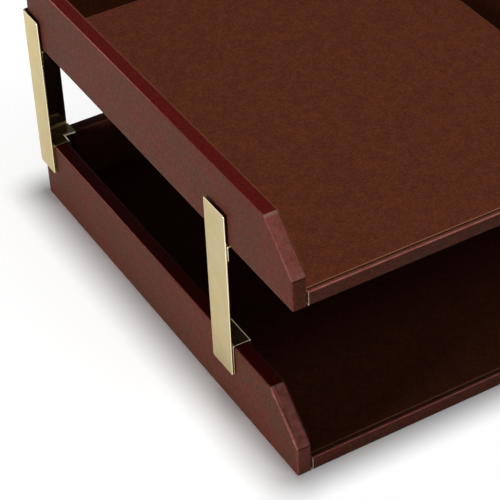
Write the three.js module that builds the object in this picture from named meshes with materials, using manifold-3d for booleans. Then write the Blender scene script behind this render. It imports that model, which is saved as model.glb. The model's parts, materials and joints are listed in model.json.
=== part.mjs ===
// A two-tier desk letter tray: two open-fronted, leather-covered trays, the upper one carried on four folded
// brass posts that clip over the walls of the lower one. Millimetres, +Z up, the open front faces -Y.
// The origin is on the desk, under the middle of the whole object.
import * as THREE from "three";
import { mergeVertices } from "three/addons/utils/BufferGeometryUtils.js";
import Module from "manifold-3d";

const wasm = await Module();
wasm.setup();

// One tray, over its leather
const trayWidth = 268;
const trayDepth = 337;
const wallHeight = 50;
const wallThickness = 10.3; // over its lining
const frontHeight = 22; // upright part of a side wall's front end
const slopeRun = 29; // how far back the front end slopes before it reaches full height
const lipHeight = 10.3;

// What a tray is made of
const leather = 0.9; // thickness of the covering
const clearance = 0.3; // between any two pieces that touch
const hem = 0.2; // height of the turned-under leather above the felt's lower face
const hemWidth = 5; // how far the leather is turned under
const baseThickness = 5.3;
const housing = 3.5; // depth of the rebates that hold the base and the back board
const stripThickness = 1; // stiffener inside the front lip
const liningThickness = 2.2;
const liningGroove = 1.2; // between the lip and the lining
const liningMargin = 0.6; // between the walls and the lining
const wallLining = 0.5; // thickness of the lining on the inner faces of the walls
const liningBorder = 1; // leather left bare round that lining

// Roundings
const edgeRadius = 1.1; // leather over the long edges
const slopeRadius = 3; // leather over both bends of the sloped front end
const cornerRadius = 1.4; // the other corners of a side wall, seen from the side
const lipRadius = 1.5;
const liningRadius = 0.7;
const hemRadius = 0.4;

// Posts, folded from sheet brass
const tierRise = 128.8; // from the underside of one tray to the underside of the next
const sheet = 1;
const bendRadius = 0.5; // inside of a fold
const upperGrip = 22.4; // post beside the wall of the upper tray
const lowerGrip = 22; // post beside the wall of the lower tray
const clipLeg = 21.2; // depth of a clip over a wall
const shelfDepth = 16; // shelf under the upper tray, from its outer face
const shelfFlange = 10.7; // turned-down edge of a shelf
const frontPostWidth = 24;
const frontPostSetback = 71; // front edge of the tray to front edge of the front post
const rearPostLeg = 22; // each leg of a rear corner post
const plateCorner = 0.8;
const plateEdge = 0.25;

// Places worked out from these sizes
const skin = leather + clearance; // from the face of a wall to its board
const coveredWall = wallThickness - wallLining - clearance; // a wall's thickness without its lining
const standOff = 2 * (clearance + sheet); // from the face of a wall to the face of a post
const front = -(trayDepth + standOff) / 2;
const back = front + trayDepth;
const halfWidth = trayWidth / 2;
const boardBottom = hem + skin;
const baseTop = boardBottom + baseThickness;
const liningBottom = baseTop + clearance;
const liningTop = liningBottom + liningThickness;
const lipThickness = 2 * skin + stripThickness;
const baseFront = front + skin + stripThickness + clearance;
const plateBottom = wallHeight - lowerGrip;
const plateTop = tierRise + upperGrip;
const shelfTop = tierRise - clearance;

const finishes = {
  leather: { color: 0x5e322c, roughness: 0.55, metalness: 0 },
  suede: { color: 0x643423, roughness: 0.95, metalness: 0 },
  board: { color: 0x8a6c4a, roughness: 0.9, metalness: 0 },
  felt: { color: 0x2a1a15, roughness: 1, metalness: 0 },
  brass: { color: 0xcdb987, roughness: 0.3, metalness: 1 },
};

// A closed outline through corners given as [across, up, radius], each corner rounded by an arc of its radius.
function outline(corners) {
  const shape = new THREE.Shape();
  corners.forEach(([x, y, radius = 0], i) => {
    const corner = new THREE.Vector2(x, y);
    const previous = corners[(i + corners.length - 1) % corners.length];
    const next = corners[(i + 1) % corners.length];
    const toPrevious = new THREE.Vector2(previous[0] - x, previous[1] - y).normalize();
    const toNext = new THREE.Vector2(next[0] - x, next[1] - y).normalize();
    const draw = i === 0 ? "moveTo" : "lineTo";
    if (radius === 0) {
      shape[draw](x, y);
      return;
    }
    const halfAngle = Math.acos(THREE.MathUtils.clamp(toPrevious.dot(toNext), -1, 1)) / 2;
    const reach = radius / Math.tan(halfAngle);
    const start = corner.clone().addScaledVector(toPrevious, reach);
    const end = corner.clone().addScaledVector(toNext, reach);
    const inward = toPrevious.clone().add(toNext).normalize();
    const centre = corner.clone().addScaledVector(inward, radius / Math.sin(halfAngle));
    const from = start.clone().sub(centre).angle();
    const to = end.clone().sub(centre).angle();
    shape[draw](start.x, start.y);
    shape.absarc(centre.x, centre.y, radius, from, to, toPrevious.cross(toNext) > 0);
  });
  shape.closePath();
  return shape;
}

// The outline of a strip of even thickness folded along a path, whose corners are given on its middle line.
function foldedStrip(path, thickness, inside) {
  const points = path.map(([x, y]) => new THREE.Vector2(x, y));
  const left = [];
  const right = [];
  points.forEach((point, i) => {
    const before = point.clone().sub(points[Math.max(i - 1, 0)]).normalize();
    const after = points[Math.min(i + 1, points.length - 1)].clone().sub(point).normalize();
    const turn = before.cross(after);
    const ahead = before.clone().add(after).normalize();
    const bisector = new THREE.Vector2(-ahead.y, ahead.x);
    const along = i === 0 ? after : before;
    const normal = new THREE.Vector2(-along.y, along.x);
    const reach = thickness / 2 / bisector.dot(normal);
    const leftRadius = turn === 0 ? 0 : inside + (turn > 0 ? 0 : thickness);
    const rightRadius = turn === 0 ? 0 : inside + (turn > 0 ? thickness : 0);
    left.push([point.x + bisector.x * reach, point.y + bisector.y * reach, leftRadius]);
    right.unshift([point.x - bisector.x * reach, point.y - bisector.y * reach, rightRadius]);
  });
  return outline([...left, ...right]);
}

// Which way an outline's own x, y and depth run for an extrusion along each axis.
const directions = {
  x: [new THREE.Vector3(0, 1, 0), new THREE.Vector3(0, 0, 1), new THREE.Vector3(1, 0, 0)],
  y: [new THREE.Vector3(1, 0, 0), new THREE.Vector3(0, 0, 1), new THREE.Vector3(0, -1, 0)],
  z: [new THREE.Vector3(1, 0, 0), new THREE.Vector3(0, 1, 0), new THREE.Vector3(0, 0, 1)],
};

// An outline carried along an axis from one place to another, with its end edges rounded where a radius is given.
function extrude(shape, axis, from, to, round = 0, steps = 2) {
  const low = Math.min(from, to);
  const high = Math.max(from, to);
  const geometry = new THREE.ExtrudeGeometry(shape, {
    depth: high - low - 2 * round,
    bevelEnabled: round > 0,
    bevelThickness: round,
    bevelSize: round,
    bevelOffset: -round,
    bevelSegments: steps,
    curveSegments: 2,
  });
  geometry.translate(0, 0, round);
  const [across, up, along] = directions[axis];
  const start = axis === "y" ? -high : low;
  const turned = new THREE.Matrix4().makeBasis(across, up, along);
  return geometry.translate(0, 0, start).applyMatrix4(turned);
}

function box(x, y, z) {
  const geometry = new THREE.BoxGeometry(x[1] - x[0], y[1] - y[0], z[1] - z[0]);
  return geometry.translate((x[0] + x[1]) / 2, (y[0] + y[1]) / 2, (z[0] + z[1]) / 2);
}

function solidOf(geometry) {
  const bare = geometry.clone();
  bare.deleteAttribute("normal");
  bare.deleteAttribute("uv");
  const merged = mergeVertices(bare, 1e-4);
  return new wasm.Manifold(
    new wasm.Mesh({
      numProp: 3,
      vertProperties: merged.attributes.position.array,
      triVerts: new Uint32Array(merged.index.array),
    }),
  );
}

// The first geometry with each of the others cut out of it.
function cut(geometry, ...tools) {
  const solid = tools.reduce((rest, tool) => rest.subtract(solidOf(tool)), solidOf(geometry));
  const mesh = solid.getMesh();
  const result = new THREE.BufferGeometry();
  result.setAttribute("position", new THREE.BufferAttribute(mesh.vertProperties, 3));
  result.setIndex(new THREE.BufferAttribute(mesh.triVerts, 1));
  const flat = result.toNonIndexed();
  flat.computeVertexNormals();
  return flat;
}

function piece(name, geometry, finish) {
  const mesh = new THREE.Mesh(geometry, new THREE.MeshStandardMaterial(finishes[finish]));
  mesh.name = name;
  return mesh;
}

// The side view of a wall with its sloped front end, drawn in by an even distance from the leather's face.
function sideOutline(inset) {
  const slope = (wallHeight - frontHeight) / slopeRun;
  const drop = inset * Math.hypot(1, slope);
  const low = hem + inset;
  const high = wallHeight - inset;
  const slopeFoot = frontHeight + slope * inset - drop;
  const slopeTop = (high - frontHeight + drop) / slope;
  const softened = (radius) => Math.max(radius - inset, 0);
  return outline([
    [front + inset, low, softened(cornerRadius)],
    [back - inset, low, softened(cornerRadius)],
    [back - inset, high, softened(cornerRadius)],
    [front + slopeTop, high, softened(slopeRadius)],
    [front + inset, slopeFoot, softened(slopeRadius)],
  ]);
}

// x at a distance in from the outer face of the left (-1) or right (1) wall.
const across = (side, distance) => side * (halfWidth - distance);
const span = (side, near, far) => [across(side, near), across(side, far)].sort((a, b) => a - b);

function sideBoard(name, side) {
  const inner = coveredWall - skin;
  const board = extrude(sideOutline(skin), "x", across(side, skin), across(side, inner));
  const baseRebate = box(
    span(side, inner - housing, wallThickness),
    [baseFront - clearance, back],
    [0, liningBottom],
  );
  const backRebate = box(
    span(side, inner - housing, wallThickness),
    [back - inner - clearance, back],
    [0, wallHeight],
  );
  return piece(name, cut(board, baseRebate, backRebate), "board");
}

function sideLeather(name, side) {
  const cover = extrude(sideOutline(0), "x", across(side, 0), across(side, coveredWall), edgeRadius, 3);
  const hollow = extrude(sideOutline(leather), "x", across(side, leather), across(side, coveredWall - leather));
  const hemOpening = box(
    span(side, hemWidth, coveredWall - leather),
    [front + hemWidth, back - hemWidth],
    [0, boardBottom],
  );
  const baseOpening = box(
    span(side, hemWidth, coveredWall + edgeRadius),
    [baseFront - clearance, back - hemWidth],
    [0, liningBottom],
  );
  const backOpening = box(
    span(side, coveredWall / 2, coveredWall + edgeRadius),
    [back - coveredWall + leather, back - leather],
    [0, wallHeight - leather],
  );
  return piece(name, cut(cover, hollow, hemOpening, baseOpening, backOpening), "leather");
}

function backBoard(name) {
  const end = halfWidth - coveredWall + skin + housing - clearance;
  const board = box([-end, end], [back - coveredWall + skin, back - skin], [boardBottom, wallHeight - skin]);
  const baseRebate = box(
    [-halfWidth, halfWidth],
    [back - coveredWall, back - coveredWall + skin + housing],
    [0, liningBottom],
  );
  return piece(name, cut(board, baseRebate), "board");
}

// Leather folded over the back board, from the lining up, over the top, down the back and under as a hem.
function backLeather(name) {
  const middle = leather / 2;
  const inner = back - coveredWall + middle;
  const outer = back - middle;
  const path = [
    [inner, liningBottom],
    [inner, wallHeight - middle],
    [outer, wallHeight - middle],
    [outer, hem + middle],
    [back - hemWidth, hem + middle],
  ];
  const end = halfWidth - coveredWall - clearance;
  const section = foldedStrip(path, leather, edgeRadius - leather);
  return piece(name, extrude(section, "x", -end, end), "leather");
}

function baseBoard(name) {
  const end = halfWidth - coveredWall + skin + housing - clearance;
  const rear = back - coveredWall + skin + housing - clearance;
  return piece(name, box([-end, end], [baseFront, rear], [boardBottom, baseTop]), "board");
}

function frontStrip(name) {
  const end = halfWidth - wallThickness - clearance;
  const y = [front + skin, front + skin + stripThickness];
  return piece(name, box([-end, end], y, [boardBottom, lipHeight - skin]), "board");
}

// Leather folded over the front strip: a hem under the base, the front face, the round top of the lip and its back.
function lipLeather(name) {
  const middle = leather / 2;
  const path = [
    [front + hemWidth, hem + middle],
    [front + middle, hem + middle],
    [front + middle, lipHeight - middle],
    [front + lipThickness - middle, lipHeight - middle],
    [front + lipThickness - middle, liningBottom],
  ];
  const end = halfWidth - wallThickness - clearance;
  const section = foldedStrip(path, leather, lipRadius - leather);
  return piece(name, extrude(section, "x", -end, end), "leather");
}

// The lining on a side wall's inner face, from behind the lip to the back wall, cut to the slope of the front end.
function sideLining(name, side) {
  const slope = (wallHeight - frontHeight) / slopeRun;
  const near = front + lipThickness + clearance;
  const far = back - coveredWall - clearance;
  const high = wallHeight - liningBorder;
  const drop = liningBorder * Math.hypot(1, slope);
  const plan = outline([
    [near, liningBottom],
    [far, liningBottom],
    [far, high],
    [front + (high - frontHeight + drop) / slope, high, slopeRadius - liningBorder],
    [near, frontHeight + slope * (near - front) - drop],
  ]);
  const lining = extrude(plan, "x", across(side, wallThickness - wallLining), across(side, wallThickness));
  return piece(name, lining, "suede");
}

function backLining(name) {
  const end = halfWidth - wallThickness - clearance;
  const y = [back - wallThickness, back - wallThickness + wallLining];
  return piece(name, box([-end, end], y, [liningBottom, wallHeight - liningBorder]), "suede");
}

// The panel laid on the floor of a tray, between its linings, with softly rounded edges.
function floorLining(name) {
  const end = halfWidth - wallThickness - liningMargin;
  const near = front + lipThickness + liningGroove;
  const far = back - wallThickness - liningMargin;
  const plan = outline([
    [-end, near, liningRadius + liningMargin],
    [end, near, liningRadius + liningMargin],
    [end, far, liningRadius + liningMargin],
    [-end, far, liningRadius + liningMargin],
  ]);
  return piece(name, extrude(plan, "z", liningBottom, liningTop, liningRadius), "suede");
}

// The felt sheet under the boards, inside the leather's hem, which a tray stands on.
function feltBase(name) {
  const end = halfWidth - hemWidth - clearance;
  const near = front + hemWidth + clearance;
  const far = back - hemWidth - clearance;
  const plan = outline([
    [-end, near, hemRadius],
    [end, near, hemRadius],
    [end, far, hemRadius],
    [-end, far, hemRadius],
  ]);
  return piece(name, extrude(plan, "z", 0, boardBottom - clearance), "felt");
}

function tray(tier) {
  const group = new THREE.Group();
  group.add(
    baseBoard(`${tier}_base_board`),
    frontStrip(`${tier}_front_strip`),
    backBoard(`${tier}_back_board`),
    sideBoard(`${tier}_left_side_board`, -1),
    sideBoard(`${tier}_right_side_board`, 1),
    lipLeather(`${tier}_front_lip_leather`),
    backLeather(`${tier}_back_leather`),
    sideLeather(`${tier}_left_side_leather`, -1),
    sideLeather(`${tier}_right_side_leather`, 1),
    backLining(`${tier}_back_lining`),
    sideLining(`${tier}_left_side_lining`, -1),
    sideLining(`${tier}_right_side_lining`, 1),
    floorLining(`${tier}_floor_lining`),
    feltBase(`${tier}_felt_base`),
  );
  return group;
}

// A clip's section as [distance in from the wall's face, height]: outer leg, web over the wall, inner leg.
function clipPath() {
  const outer = -clearance - sheet / 2;
  const inner = wallThickness + clearance + sheet / 2;
  const web = wallHeight + clearance + sheet / 2;
  const foot = wallHeight - clipLeg;
  return [[outer, foot], [outer, web], [inner, web], [inner, foot]];
}

// A shelf's section in the same terms: turned-down flange, then the shelf under the upper tray.
function shelfPath() {
  const flange = -clearance - sheet / 2;
  const level = shelfTop - sheet / 2;
  return [[flange, level - shelfFlange], [flange, level], [shelfDepth, level]];
}

// A folded piece that runs along a side wall between two distances from the front of the tray.
function alongSide(path, side, near, far) {
  const section = foldedStrip(path.map(([inward, up]) => [across(side, inward), up]), sheet, bendRadius);
  return extrude(section, "y", front + near, front + far);
}

// A folded piece that runs along the back wall between two distances in from the side of the tray.
function alongBack(path, side, near, far) {
  const section = foldedStrip(path.map(([inward, up]) => [back - inward, up]), sheet, bendRadius);
  return extrude(section, "x", across(side, near), across(side, far));
}

// What a mitred piece loses at a rear corner: everything past the diagonal, less half the joint's clearance.
function pastMitre(side, runsAlong) {
  const reach = 2 * rearPostLeg + shelfDepth;
  const joint = clearance / Math.SQRT2;
  const corners = {
    side: [[-reach, joint - reach], [reach, reach + joint], [reach, -reach]],
    back: [[-reach, -reach - joint], [reach, reach - joint], [-reach, reach]],
  }[runsAlong];
  const plan = outline(corners.map(([fromSide, fromBack]) => [across(side, fromSide), back - fromBack]));
  return extrude(plan, "z", 0, plateTop);
}

function frontPost(hand, side) {
  const near = frontPostSetback;
  const far = frontPostSetback + frontPostWidth;
  const face = outline([
    [front + near, plateBottom, plateCorner],
    [front + far, plateBottom, plateCorner],
    [front + far, plateTop, plateCorner],
    [front + near, plateTop, plateCorner],
  ]);
  const plate = extrude(face, "x", across(side, -standOff), across(side, sheet - standOff), plateEdge);
  const group = new THREE.Group();
  group.add(
    piece(`${hand}_front_post_plate`, plate, "brass"),
    piece(`${hand}_front_post_clip`, alongSide(clipPath(), side, near, far), "brass"),
    piece(`${hand}_front_post_shelf`, alongSide(shelfPath(), side, near, far), "brass"),
  );
  return group;
}

// A corner plate folded round the tray's rear corner, with mitred clips and shelves on both of its legs.
function rearPost(hand, side) {
  const middle = sheet / 2 - standOff;
  const reach = rearPostLeg - standOff;
  const plan = foldedStrip(
    [
      [across(side, middle), back - reach],
      [across(side, middle), back - middle],
      [across(side, reach), back - middle],
    ],
    sheet,
    bendRadius,
  );
  const near = trayDepth - reach;
  const corner = -clearance - sheet;
  const sideCut = pastMitre(side, "side");
  const backCut = pastMitre(side, "back");
  const sidePiece = (path) => cut(alongSide(path, side, near, trayDepth - corner), sideCut);
  const backPiece = (path) => cut(alongBack(path, side, corner, reach), backCut);
  const group = new THREE.Group();
  group.add(
    piece(`${hand}_rear_post_corner_plate`, extrude(plan, "z", plateBottom, plateTop), "brass"),
    piece(`${hand}_rear_post_side_clip`, sidePiece(clipPath()), "brass"),
    piece(`${hand}_rear_post_back_clip`, backPiece(clipPath()), "brass"),
    piece(`${hand}_rear_post_side_shelf`, sidePiece(shelfPath()), "brass"),
    piece(`${hand}_rear_post_back_shelf`, backPiece(shelfPath()), "brass"),
  );
  return group;
}

const letterTray = new THREE.Group();
const upperTray = tray("upper");
upperTray.position.z = tierRise;
letterTray.add(tray("lower"), upperTray);
for (const [hand, side] of [["left", -1], ["right", 1]]) {
  letterTray.add(frontPost(hand, side), rearPost(hand, side));
}

export default letterTray;
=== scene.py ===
import json

import bmesh
import bpy
import numpy as np
from mathutils import Matrix, Vector


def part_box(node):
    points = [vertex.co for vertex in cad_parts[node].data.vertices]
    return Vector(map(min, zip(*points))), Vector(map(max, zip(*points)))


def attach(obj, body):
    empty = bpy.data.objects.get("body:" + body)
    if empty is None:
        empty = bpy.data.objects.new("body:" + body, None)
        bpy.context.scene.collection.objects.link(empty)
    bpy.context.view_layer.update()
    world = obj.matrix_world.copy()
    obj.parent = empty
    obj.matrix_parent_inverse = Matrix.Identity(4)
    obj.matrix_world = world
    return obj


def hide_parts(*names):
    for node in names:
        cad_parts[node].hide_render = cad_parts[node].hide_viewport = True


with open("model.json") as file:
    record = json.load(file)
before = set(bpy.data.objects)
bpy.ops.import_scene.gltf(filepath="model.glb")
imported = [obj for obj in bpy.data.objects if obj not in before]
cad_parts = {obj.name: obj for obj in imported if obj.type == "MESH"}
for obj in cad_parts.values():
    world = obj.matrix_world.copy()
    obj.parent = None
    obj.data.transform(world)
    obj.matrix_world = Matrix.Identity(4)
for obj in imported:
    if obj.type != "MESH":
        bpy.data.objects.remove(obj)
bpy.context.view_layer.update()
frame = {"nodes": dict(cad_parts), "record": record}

mm = 0.001
scene = bpy.context.scene
tiers = ("lower", "upper")
hands = {"left": -1, "right": 1}
print("frame loaded:", len(frame["nodes"]), "nodes")

# The camera stands where the photograph was taken.

camera = dict(
    place=(-554.4, -891.2, 849.1),  # mm
    turn=28.72,  # degrees from straight ahead towards the right
    tilt=38.91,  # degrees down
    roll=2.81,
    pictureWidth=500,  # pixels
    focalLength=1985,  # pixels of that picture
    sensorWidth=36,  # mm
    sight=20,  # metres that it sees
)


def addCamera():
    data = bpy.data.cameras.new("camera")
    data.sensor_width = camera["sensorWidth"]
    data.lens = camera["focalLength"] / camera["pictureWidth"] * data.sensor_width
    data.clip_end = camera["sight"]
    turn, tilt, roll = np.radians([camera["turn"], camera["tilt"], camera["roll"]])
    ahead = np.array([np.sin(turn) * np.cos(tilt), np.cos(turn) * np.cos(tilt), -np.sin(tilt)])
    level = np.array([np.cos(turn), -np.sin(turn), 0])
    down = np.cross(ahead, level)
    right = np.cos(roll) * level + np.sin(roll) * down
    up = np.sin(roll) * level - np.cos(roll) * down
    place = Matrix(np.column_stack([right, up, -ahead]).tolist()).to_4x4()
    place.translation = Vector(camera["place"]) * mm
    eye = bpy.data.objects.new("camera", data)
    eye.matrix_world = place
    scene.collection.objects.link(eye)
    scene.camera = eye


addCamera()
print("camera placed")

# Where the tray's main faces are, in mm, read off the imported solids


def nodeBox(node):
    return [np.array(corner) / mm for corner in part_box(node)]


wallLow, wallHigh = nodeBox("lower_left_side_leather")
liningHigh = nodeBox("lower_left_side_lining")[1]
front, back = wallLow[1], wallHigh[1]
halfWidth = -wallLow[0]
wallHeight = wallHigh[2]
coveredWall = wallHigh[0] - wallLow[0]  # thickness of a side wall without its lining
linedWall = liningHigh[0] - wallLow[0]
footOf = {"lower": 0, "upper": nodeBox("upper_felt_base")[0][2]}

# Helpers for shapes, in mm

shaping = dict(
    foldSteps=6,  # quads round each fold
    roundSteps=5,  # quads round a softened edge
    crowding=0.3,  # share of a step within which an even place gives way to a mark
    weld=2e-6,  # metres within which two points become one
    sliver=1e-7,  # metres under which an edge is dropped
    sameWay=0.01,  # radians under which a plain piece's faces are merged
    waveLengths=(60, 19),
    shortWave=0.6,  # height of the shorter waves beside the longer ones
)


def smoothStep(value, low, high):
    # 0 below low, 1 above high, and 3t^2 - 2t^3 between them.
    t = np.clip((value - low) / (high - low), 0, 1)
    return t * t * (3 - 2 * t)


def between(value, start, full, fading, end):
    # 0 up to the start, 1 from full to fading, 0 again from the end, and smooth steps in between.
    return smoothStep(value, start, full) * (1 - smoothStep(value, fading, end))


def ridge(value, middle, width):
    # A bell that is 1 at the middle: e to the minus square of the distance over the width.
    return np.exp(-(((value - middle) / width) ** 2))


def quarterTurn(steps):
    return np.linspace(0, np.pi / 2, steps + 1)


def waves(points, length, seed, count=6):
    # Soft unevenness from -1 to 1: the mean of sine waves, about one length long, in random directions.
    random = np.random.default_rng(seed)
    direction = random.normal(size=(count, 3))
    direction /= np.linalg.norm(direction, axis=1)[:, None]
    pace = 2 * np.pi / (length * random.uniform(0.7, 1.5, count))
    return np.sin(points @ direction.T * pace + random.uniform(0, 6.3, count)).mean(axis=1)


def gridFaces(rows, columns, first=0, keep=None):
    # The quads between neighbours on a grid of points numbered row by row, all of them or where keep is true.
    row, column = np.meshgrid(np.arange(rows - 1), np.arange(columns - 1), indexing="ij")
    corner = first + row * columns + column
    faces = np.stack([corner, corner + columns, corner + columns + 1, corner + 1], axis=-1)
    return faces.reshape(-1, 4) if keep is None else faces[keep]


def shellFaces(rows, columns):
    # The quads of a closed shell: a grid, its copy behind it, and the strips that join their four edges.
    number = np.arange(2 * rows * columns).reshape(2, rows, columns)
    edges = [number[:, 0], number[:, -1], number[:, :, 0], number[:, :, -1]]
    strips = [np.stack([edge[0, :-1], edge[0, 1:], edge[1, 1:], edge[1, :-1]], axis=-1) for edge in edges]
    return np.concatenate([gridFaces(rows, columns), gridFaces(rows, columns, rows * columns), *strips])


def spaced(low, high, step, *marks):
    # Even places from low to high, about a step apart, with each mark in place of those too near it.
    places = np.linspace(low, high, max(int(round((high - low) / step)), 1) + 1)
    for mark in marks:
        places = places[np.abs(places - mark) > step * shaping["crowding"]]
    return np.unique(np.concatenate([places, marks]))


def sinkUnevenly(mesh, depth, seed):
    # Each point sinks along its normal, by nothing to twice the depth, as two sizes of waves give.
    long, short = shaping["waveLengths"]
    place = np.empty(len(mesh.vertices) * 3, np.float32)
    normal = np.empty_like(place)
    mesh.vertices.foreach_get("co", place)
    mesh.vertex_normals.foreach_get("vector", normal)
    place = place.reshape(-1, 3)
    sunk = 1 + waves(place / mm, long, seed) + shaping["shortWave"] * waves(place / mm, short, seed + 1)
    sunk = np.clip(sunk, 0, 2)[:, None] * depth * mm
    mesh.vertices.foreach_set("co", (place - normal.reshape(-1, 3) * sunk).ravel())


def makePiece(name, points, faces, body, slot, replaced, marks, uneven=0, plain=False, closed=True, seed=1):
    # A welded mesh of points in mm, with its marks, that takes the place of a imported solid. On a plain piece
    # level neighbours are merged, and a closed one's faces are turned outwards.
    mesh = bpy.data.meshes.new(name)
    mesh.from_pydata((np.reshape(points, (-1, 3)) * mm).tolist(), [], np.asarray(faces).tolist())
    for mark, values in marks.items():
        data = mesh.attributes.new(mark, "FLOAT", "POINT").data
        data.foreach_set("value", np.ravel(values).astype(np.float32))
    shaped = bmesh.new()
    shaped.from_mesh(mesh)
    bmesh.ops.remove_doubles(shaped, verts=shaped.verts, dist=shaping["weld"])
    bmesh.ops.dissolve_degenerate(shaped, edges=shaped.edges, dist=shaping["sliver"])
    if plain:
        angle = shaping["sameWay"]
        bmesh.ops.dissolve_limit(shaped, angle_limit=angle, verts=shaped.verts, edges=shaped.edges)
    if closed:
        bmesh.ops.recalc_face_normals(shaped, faces=shaped.faces)
    shaped.to_mesh(mesh)
    shaped.free()
    mesh.shade_smooth()
    if uneven:
        sinkUnevenly(mesh, uneven, seed)
    piece = bpy.data.objects.new(name, mesh)
    scene.collection.objects.link(piece)
    mesh.materials.append(finishes[slot])
    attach(piece, body)
    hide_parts(replaced)
    return piece


def roundedLine(corners, radii, ends):
    # Points along a line through the corners, with an arc tangent to both sides in place of each inner
    # corner, and extra points at the given distances from both ends. Also how far round its bend each point
    # is, from 0 to 1 and back to 0.
    corners = np.asarray(corners, float)
    ends = np.asarray(ends, float)[:, None]
    ahead = (corners[1] - corners[0]) / np.linalg.norm(corners[1] - corners[0])
    behind = (corners[-2] - corners[-1]) / np.linalg.norm(corners[-2] - corners[-1])
    line = [corners[:1], corners[0] + ends * ahead]
    bend = [np.zeros(1 + len(ends))]
    part = np.linspace(0, 1, shaping["foldSteps"] + 1)
    for before, corner, after, radius in zip(corners, corners[1:], corners[2:], radii):
        toBefore = (before - corner) / np.linalg.norm(before - corner)
        toAfter = (after - corner) / np.linalg.norm(after - corner)
        half = np.arccos(np.clip(toBefore @ toAfter, -1, 1)) / 2
        middle = toBefore + toAfter
        centre = corner + middle / np.linalg.norm(middle) * radius / np.sin(half)
        start = corner + toBefore * radius / np.tan(half) - centre
        end = corner + toAfter * radius / np.tan(half) - centre
        sweep = np.pi - 2 * half
        turned = np.sin((1 - part) * sweep)[:, None] * start + np.sin(part * sweep)[:, None] * end
        line.append(centre + turned / np.sin(sweep))
        bend.append(np.sin(part * np.pi))
    line += [corners[-1] + ends[::-1] * behind, corners[-1:]]
    bend.append(np.zeros(1 + len(ends)))
    return np.concatenate(line), np.concatenate(bend)


def sheetSides(path, thickness, inside, ends):
    # Both faces of a sheet folded along its middle line. Each corner moves along its bisector until the faces
    # are half the thickness away, and is rounded by the inside radius, or by that and the thickness outside
    # the bend.
    path = np.asarray(path, float)
    step = np.diff(path, axis=0)
    step /= np.linalg.norm(step, axis=1)[:, None]
    before = np.vstack([step[:1], step])
    after = np.vstack([step, step[-1:]])
    turn = before[:, 0] * after[:, 1] - before[:, 1] * after[:, 0]
    across = np.column_stack([-(before + after)[:, 1], (before + after)[:, 0]])
    reach = across / (across * np.column_stack([-before[:, 1], before[:, 0]])).sum(axis=1)[:, None]
    leftRadii = np.where(turn[1:-1] > 0, inside, inside + thickness)
    rightRadii = np.where(turn[1:-1] > 0, inside + thickness, inside)
    left, bend = roundedLine(path + reach * thickness / 2, leftRadii, ends)
    right = roundedLine(path - reach * thickness / 2, rightRadii, ends)[0]
    return np.stack([left, right]), bend


def nowhere(first, second):
    return np.zeros(first.shape)


def foldedSheet(
    name,
    path,
    thickness,
    run,
    place,
    body,
    slot,
    node,
    inside=0,  # radius on the hollow side of a fold
    ends=(),
    step=4,
    rim=0.2,  # width of the first and last strip
    # how pale bends turn, from wear and a painted highlight; where dark() is 1 they get painted shade instead
    wornAndLit=0.3,
    dark=nowhere,
    **options,
):
    # A sheet folded along a path and carried along its run. On each face, path point i stands at the j-th
    # station between its own two limits, which run(points, lengths) gives. Bends are worn pale with a painted
    # highlight, or painted dark as shade where dark(first, second) is 1, and the sheet's rim is marked as cut.
    sides, bend = sheetSides(path, thickness, inside, ends)
    lengths = np.cumsum(np.linalg.norm(np.diff(sides, axis=1, prepend=sides[:, :1]), axis=2), axis=1)
    low, high = (np.broadcast_to(limit, lengths.shape)[..., None] for limit in run(sides, lengths))
    share = np.linspace(0, 1, max(int(np.max(high - low) / step), 1) + 1)
    station = np.concatenate([low, low + rim + (high - low - 2 * rim) * share, high], axis=2)
    first = np.broadcast_to(sides[..., :1], station.shape)
    second = np.broadcast_to(sides[..., 1:], station.shape)
    points = np.stack(place(first, second, station), axis=-1)
    cut = np.zeros(station.shape)
    cut[:, :, [0, -1]] = 1
    cut[:, [0, -1], :] = 1
    shaded = dark(sides[..., :1], sides[..., 1:])
    marks = {
        "cut": cut,
        # bends paler from wear and a painted highlight, or painted dark as shade
        "wearAndHighlight": np.broadcast_to(wornAndLit * bend[:, None] * (1 - shaded), station.shape),
        "fold": np.broadcast_to(np.minimum(2 * bend, 1)[:, None] * shaded, station.shape),
    }
    return makePiece(name, points, shellFaces(*station.shape[1:]), body, slot, node, marks, **options)


# Helpers for materials

noiseSpan = (0.3, 0.7)  # between these lies nearly all of a noise


def hexColour(code):
    # A colour as it looks on the screen, made linear, with alpha 1.
    value = np.array([int(code[i : i + 2], 16) for i in (0, 2, 4)]) / 255
    linear = np.where(value <= 0.04045, value / 12.92, ((value + 0.055) / 1.055) ** 2.4)
    return (*linear.tolist(), 1)


def addNode(tree, kind, inputs=None, **settings):
    node = tree.nodes.new("ShaderNode" + kind)
    for name, value in settings.items():
        setattr(node, name, value)
    for socket, value in (inputs or {}).items():
        setSocket(tree, node, socket, value)
    return node


def setSocket(tree, node, socket, value):
    if isinstance(value, bpy.types.NodeSocket):
        tree.links.new(value, node.inputs[socket])
    else:
        node.inputs[socket].default_value = value


def noise(tree, scale, detail, roughness, stretch=(1, 1, 1)):
    # A cloudy value around 0.5, with about scale features to a metre. A stretch under 1 draws them out.
    place = addNode(tree, "TexCoord").outputs["Object"]
    place = addNode(tree, "Mapping", {"Vector": place, "Scale": stretch}).outputs["Vector"]
    inputs = {"Vector": place, "Scale": scale, "Detail": detail, "Roughness": roughness}
    return addNode(tree, "TexNoise", inputs).outputs["Fac"]


def pebbles(tree, scale):
    # 0 at the middle of each pebble, and more towards its edge
    place = addNode(tree, "TexCoord").outputs["Object"]
    return addNode(tree, "TexVoronoi", {"Vector": place, "Scale": scale}).outputs["Distance"]


def remap(tree, value, low, high, newLow=0.0, newHigh=1.0):
    inputs = {"Value": value, "From Min": low, "From Max": high, "To Min": newLow, "To Max": newHigh}
    return addNode(tree, "MapRange", inputs).outputs["Result"]


def combine(tree, operation, first, second):
    return addNode(tree, "Math", {0: first, 1: second}, operation=operation).outputs[0]


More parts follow.
